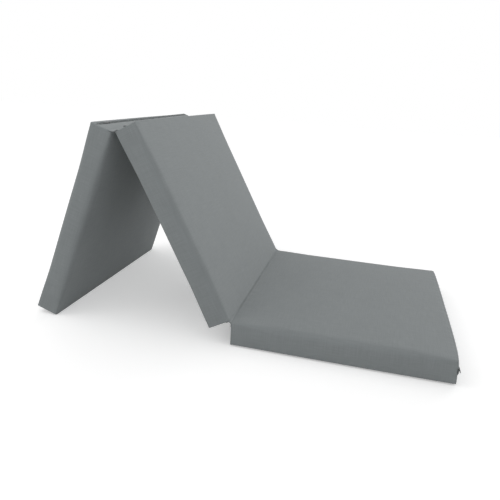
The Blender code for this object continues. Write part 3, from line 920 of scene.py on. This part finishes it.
half = PANEL_WIDTH / 2 - TAPE_MARGIN
lengths = np.linspace(-half, half, 81)
widths = np.linspace(COIL_EDGE, COIL_EDGE + TAPE_WIDTH, 7)
count = len(widths)
for panel, matrix, kind, side in zip_sides():
    places, faces = [], []
    for y in lengths:
        drawn = corner_draw(panel, panel.zip_end, -y)
        for wide in widths:
            uneven = ripple(y / TAPE_RIPPLE.along, wide / TAPE_RIPPLE.across, side)
            sunk = drawn * min(max(0, wide - SLOT_HALF_WIDTH) / DRAW_EASE, 1)
            out = TAPE_FACE - abs(TAPE_RIPPLE.depth * uneven) - sunk
            places.append((out, y, side * wide))
    for i in range(len(lengths) - 1):
        for a in range(i * count, i * count + count - 1):
            quad = (a, a + 1, a + count + 1, a + count)
            faces.append(quad if side < 0 else quad[::-1])
    mesh = bpy.data.meshes.new(f"{panel.name}_tape_{kind}")
    mesh.from_pydata(places, [], faces)
    lay_uv(mesh, "weave", [(places[v][1], places[v][2]) for face in faces for v in face])
    follow_bow(mesh, panel)
    mesh.transform(matrix)
    mesh.shade_smooth()
    piece = put(mesh.name, mesh, zip_tape)
    thicken(piece, TAPE_THICKNESS)
    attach(piece, panel.name)
    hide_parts(f"{panel.name}_zip_tape_{kind}")
    strip = f"{panel.name}_zip_{kind}_cloth"


# The zips' coils. Each row of teeth is one nylon monofilament wound into a flat coil and sewn to
# the edge of its tape; every turn ends in a rounded head that locks with the turns opposite.
CHAIN_HALF_LENGTH = 0.320
CHAIN_START = 0.0005
TOOTH_PITCH = 0.0015
WIRE_SIDES = 6
WIRE_FLATNESS = 1.15

# The centre and the radius of the wire along one turn: over the tape, round the head, beneath it.
TURN = (
    ((-0.00022, 0.0, 0.0026), 0.00026),
    ((-0.00020, 0.0, 0.0015), 0.00028),
    ((-0.00022, 0.0, 0.0009), 0.00030),
    ((-0.00040, 0.0001, 0.00058), 0.00033),
    ((-0.00070, 0.0003, 0.00058), 0.00033),
    ((-0.00090, 0.0004, 0.0009), 0.00028),
    ((-0.00092, 0.0006, 0.0026), 0.00026),
)

# Dyed nylon monofilament: hard, smooth and a little darker than its tape, so that every turn takes
# a small highlight. The dye varies in spots 3 mm across.
DYE_SPOTS_PER_METRE = 300

grain = {"Scale": DYE_SPOTS_PER_METRE, "Detail": 1}
coil_nylon, tree, shader, _ = mottled("dyed_nylon_monofilament", grain, "#6E7374", "#7C8182")
feed(shader, {"Roughness": 0.38, "IOR": 1.53})


def tooth_mesh():
    """One turn of the coil."""
    centres = [Vector(centre) for centre, _ in TURN]
    last = len(TURN) - 1
    sideways = Vector((0, 1, 0))
    places, faces = [], []
    for i, (_, radius) in enumerate(TURN):
        ahead = (centres[min(i + 1, last)] - centres[max(i - 1, 0)]).normalized()
        outwards = ahead.cross(sideways).normalized()
        for k in range(WIRE_SIDES):
            angle = 2 * math.pi / WIRE_SIDES * k
            wide = math.cos(angle) * sideways * WIRE_FLATNESS
            places.append(centres[i] + radius * (wide + math.sin(angle) * outwards))
    for a in range(0, last * WIRE_SIDES, WIRE_SIDES):
        b = a + WIRE_SIDES
        for k in range(WIRE_SIDES):
            n = (k + 1) % WIRE_SIDES
            faces.append((a + k, a + n, b + n, b + k))
    faces += [tuple(range(WIRE_SIDES))[::-1], tuple(range(b, b + WIRE_SIDES))]
    mesh = bpy.data.meshes.new("tooth")
    mesh.from_pydata(places, [], faces)
    return mesh


# One tooth is set in a row along Y.
inputs = {"Tooth": "Geometry", "Teeth": "Int", "Pitch": "Float", "First": "Float"}
coil_row, given = open_group("coil_row", {**inputs, "Material": "Material"})
tree = coil_row
first = node(tree, "CombineXYZ", {1: given["First"]})
step = node(tree, "CombineXYZ", {1: given["Pitch"]})
spots = {"Count": given["Teeth"], "Start Location": first, "Offset": step}
spots = node(tree, "GeometryNodeMeshLine", spots, mode="OFFSET")
instances = {"Points": spots, "Instance": given["Tooth"]}
laid = node(tree, "GeometryNodeInstanceOnPoints", instances)
close_group(tree, laid, given["Material"])

for panel, matrix, kind, side in zip_sides():
    tooth = tooth_mesh()
    if side < 0:
        tooth.transform(Matrix.Diagonal((1, 1, -1, 1)))
        tooth.flip_normals()
    shift = 0 if side > 0 else TOOTH_PITCH / 2
    sizes = {
        "Teeth": int(2 * CHAIN_HALF_LENGTH / TOOTH_PITCH) - 1,
        "Pitch": TOOTH_PITCH,
        "First": -CHAIN_HALF_LENGTH + CHAIN_START + shift,
        "Material": coil_nylon,
    }
    mesh = grow(f"{panel.name}_coil_{kind}", tooth, coil_row, sizes)
    follow_bow(mesh, panel)
    mesh.transform(matrix)
    piece = put(mesh.name, mesh)
    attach(piece, panel.name)
    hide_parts(f"{panel.name}_zip_coil_{kind}")


# The sliders, pulls and stops. Sliders and pulls are zinc die castings painted to match the cloth,
# rubbed a little where fingers and coils touch; the stops are bent from plain metal strip.
EDGE_SOFTNESS = 0.00012

# Painted zinc: dark and softly glossy under its clear top coat, and rubbed paler in spots 2 mm
# across, as bare metal begins to show there.
RUBS_PER_METRE = 500

grain = {"Scale": RUBS_PER_METRE, "Detail": 4, "Roughness": 0.7}
slider_paint, tree, shader, rubs = mottled(
    "painted_zinc_casting", grain, "#3B3E3F", "#6A6C6B", (0.55, 0.75)
)
gloss = {"Value": rubs, "From Min": 0.3, "From Max": 0.7, "To Min": 0.32, "To Max": 0.5}
gloss = node(tree, "MapRange", gloss)
feed(shader, {"Roughness": gloss, "Metallic": 0.3, "Coat Weight": 0.3})

# Pressed aluminium: a bare grey glint, broken up by scuffs 1 mm across from the press.
SCUFFS_PER_METRE = 900

grain = {"Scale": SCUFFS_PER_METRE, "Detail": 3}
stop_metal, tree, shader, scuffs = mottled("pressed_aluminium_stop", grain, "#6A6C6C", "#8E9090")
gloss = {"Value": scuffs, "From Min": 0.3, "From Max": 0.7, "To Min": 0.3, "To Max": 0.5}
gloss = node(tree, "MapRange", gloss)
feed(shader, {"Roughness": gloss, "Metallic": 1.0})

for panel in panels:
    for part, finish in (
        ("zip_slider", slider_paint),
        ("zip_pull", slider_paint),
        ("zip_top_stop", stop_metal),
        ("zip_bottom_stop", stop_metal),
    ):
        piece = frame["nodes"][f"{panel.name}_{part}"]
        piece.data.materials.clear()
        piece.data.materials.append(finish)
        softened = piece.modifiers.new("softened", "BEVEL")
        softened.width = EDGE_SOFTNESS
        softened.segments = 2
        softened.limit_method = "ANGLE"


# The folds. A doubled strip of the cover cloth is sewn down the ends of two panels that meet, and
# runs over the gap between them, so it bends like a hinge on the real mattress. Here each strip is
# laid once in its folded shape and does not move with the panels.
FOLD_LEG = 0.012
FOLD_THICKNESS = 0.0008
FOLD_SIDE_MARGIN = 0.0015
FINE_MARGIN = 0.02
RUFFLE_WIDTH = 0.02
RUFFLE_DEPTH = 0.0003
CREASE_SINK = 0.0022


def fold_strip(name, axis, lean, towards, angle, sunk):
    """A strip over a fold: down one panel's end, over the fold's axis, and down the other's.

    Gives the piece with its flat size. It is sunk between the panels before it turns over.
    """
    leg = FOLD_END_INSET - FACE_GAP - FOLD_THICKNESS / 2
    turn = Matrix.Rotation(-angle, 2)
    depths = [(leg, leg + FOLD_LEG * share) for share in (1, 0.6, 0.25)]
    depths += [(leg, sunk + leg), (leg * 0.92, sunk + leg * 0.6), (leg * 0.55, sunk + leg * 0.25)]
    half = PANEL_WIDTH / 2 - FOLD_SIDE_MARGIN
    fine = np.linspace(-half, -half + FINE_MARGIN, 9)[:-1]
    widths = np.concatenate((fine, np.linspace(-half + FINE_MARGIN, 0, 50)))
    widths = np.concatenate((widths, -widths[-2::-1]))
    places, spots, faces, lengths = [], [], [], []
    for y in widths:
        past = min(max(0, abs(y) - (PANEL_WIDTH / 2 - CORNER_RADIUS)), 0.9 * CORNER_RADIUS)
        drop = CORNER_RADIUS - math.sqrt(CORNER_RADIUS**2 - past**2)
        ruffle = RUFFLE_DEPTH * ripple(y / RUFFLE_WIDTH, 0, towards)
        near = [Vector((x, towards * (depth + drop + ruffle))) for x, depth in depths]
        far = [turn @ Vector((-x, z)) for x, z in reversed(near)]
        path = near + [(near[-1] + far[0]) / 2] + far
        gone = 0
        for i, point in enumerate(path):
            gone += (point - path[i - 1]).length if i else 0
            places.append((point.x, y, point.y))
            spots.append((y, gone))
        lengths.append(gone)
    count = len(path)
    for i in range(len(widths) - 1):
        for a in range(i * count, i * count + count - 1):
            quad = (a, a + count, a + count + 1, a + 1)
            faces.append(quad if towards < 0 else quad[::-1])
    mesh = bpy.data.meshes.new(name)
    mesh.from_pydata(places, [], faces)
    lay_uv(mesh, "weave", [spots[v] for face in faces for v in face])
    mesh.transform(Matrix.Translation(axis) @ Matrix.Rotation(lean, 4, "Y"))
    mesh.shade_smooth()
    piece = put(name, mesh, cover_cloth)
    thicken(piece, FOLD_THICKNESS, 0)
    return piece, (2 * half, sum(lengths) / len(lengths))


strip, flat = fold_strip("crease_fold_strip", crease, 0, -1, MIDDLE_LEAN, CREASE_SINK)
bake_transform(strip)
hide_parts("crease_fold_tape")

bend = -MIDDLE_LEAN - HEAD_LEAN
strip, flat = fold_strip("ridge_fold_strip", ridge, MIDDLE_LEAN, 1, bend, 0)
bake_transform(strip)
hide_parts("top_fold_tape")


# The studio: a white floor that keeps a soft shadow, and a white surround. A low, wide sun comes
# from the far right, a softbox from above at the left, and a faint one from the front. The floor
# and the surround are lifted to white for the camera alone.
FLOOR_HALF_SIZE = 9
FLOOR_LIFT = 0.34
SKY_LIGHT = 0.75

# Matt white paint: no highlight, so that only the shadow shows on it.
floor_paint, tree, shader = new_material("matt_white_floor")
seen = node(tree, "LightPath").outputs["Is Camera Ray"]
lift = node(tree, "Math", {0: seen, 1: FLOOR_LIFT}, operation="MULTIPLY")
feed(shader, {"Base Color": colour("#EEEEEE"), "Roughness": 0.9, "Specular IOR Level": 0.1})
feed(shader, {"Emission Color": (1, 1, 1, 1), "Emission Strength": lift})
studio_floor = bpy.data.meshes.new("studio_floor")
side = FLOOR_HALF_SIZE
corners = [(-side, -side, 0), (side, -side, 0), (side, side, 0), (-side, side, 0)]
studio_floor.from_pydata(corners, [], [(0, 1, 2, 3)])
put("studio_floor", studio_floor, floor_paint)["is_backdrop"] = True

world = bpy.data.worlds.new("studio")
world.use_nodes = True
bpy.context.scene.world = world
tree = world.node_tree
seen = node(tree, "LightPath").outputs
clear = seen["Is Camera Ray"]
for ray in ("Is Glossy Ray", "Is Transmission Ray"):
    clear = node(tree, "Math", {0: clear, 1: seen[ray]}, operation="MAXIMUM")
level = node(tree, "MapRange", {"Value": clear, "To Min": SKY_LIGHT, "To Max": 1.0})
feed(tree.nodes["Background"], {"Color": (1, 1, 1, 1), "Strength": level})


def lamp(name, kind, place, aim, width, power):
    """A wide lamp at a place, turned to what it lights; a sun's width is in degrees."""
    light = bpy.data.lights.new(name, kind)
    if kind == "SUN":
        light.angle = math.radians(width)
    else:
        light.size = width
    light.energy = power
    made = put(name, light)
    made.location = place
    made.rotation_euler = (Vector(place) - Vector(aim)).to_track_quat("Z", "Y").to_euler()


lamp("right_window", "SUN", (2.5, 5, 0.9), (0, 0, 0), 32, 0.90)
lamp("left_softbox", "AREA", (-1.4, -0.6, 1.6), (-0.5, 0, 0.3), 1.2, 5.5)
lamp("front_softbox", "AREA", (-0.2, -0.8, 1.7), (-0.3, 0, 0.4), 1.2, 1.0)


# The camera stands at the near side, a little right of the crease, and looks slightly down.
# Its lens, place and turn come from matching the panels' corners in the photograph, whose middle
# lies off the lens's axis by this share of its width.
CAMERA_PLACE = (0.35852, -1.59741, 0.76682)
CAMERA_YAW = 0.20880
CAMERA_PITCH = 0.21460
CAMERA_ROLL = 0.06170
SENSOR_WIDTH = 36
FOCAL_WIDTHS = 0.95189
OFF_AXIS = (-18.461 / 500, -59.126 / 500)

camera_data = bpy.data.cameras.new("camera")
camera_data.lens = SENSOR_WIDTH * FOCAL_WIDTHS
camera_data.shift_x, camera_data.shift_y = OFF_AXIS
camera = put("camera", camera_data)
flat = math.cos(CAMERA_PITCH)
ahead = (-math.sin(CAMERA_YAW) * flat, math.cos(CAMERA_YAW) * flat, -math.sin(CAMERA_PITCH))
ahead = Vector(ahead)
right = Vector((math.cos(CAMERA_YAW), math.sin(CAMERA_YAW), 0))
above = right.cross(ahead)
tilted = right * math.cos(CAMERA_ROLL) + above * math.sin(CAMERA_ROLL)
above = above * math.cos(CAMERA_ROLL) - right * math.sin(CAMERA_ROLL)
turned = Matrix((tilted, above, -ahead)).transposed().to_4x4()
camera.matrix_world = Matrix.Translation(CAMERA_PLACE) @ turned
bpy.context.scene.camera = camera
bpy.context.scene.view_settings.view_transform = "Standard"

low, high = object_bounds()
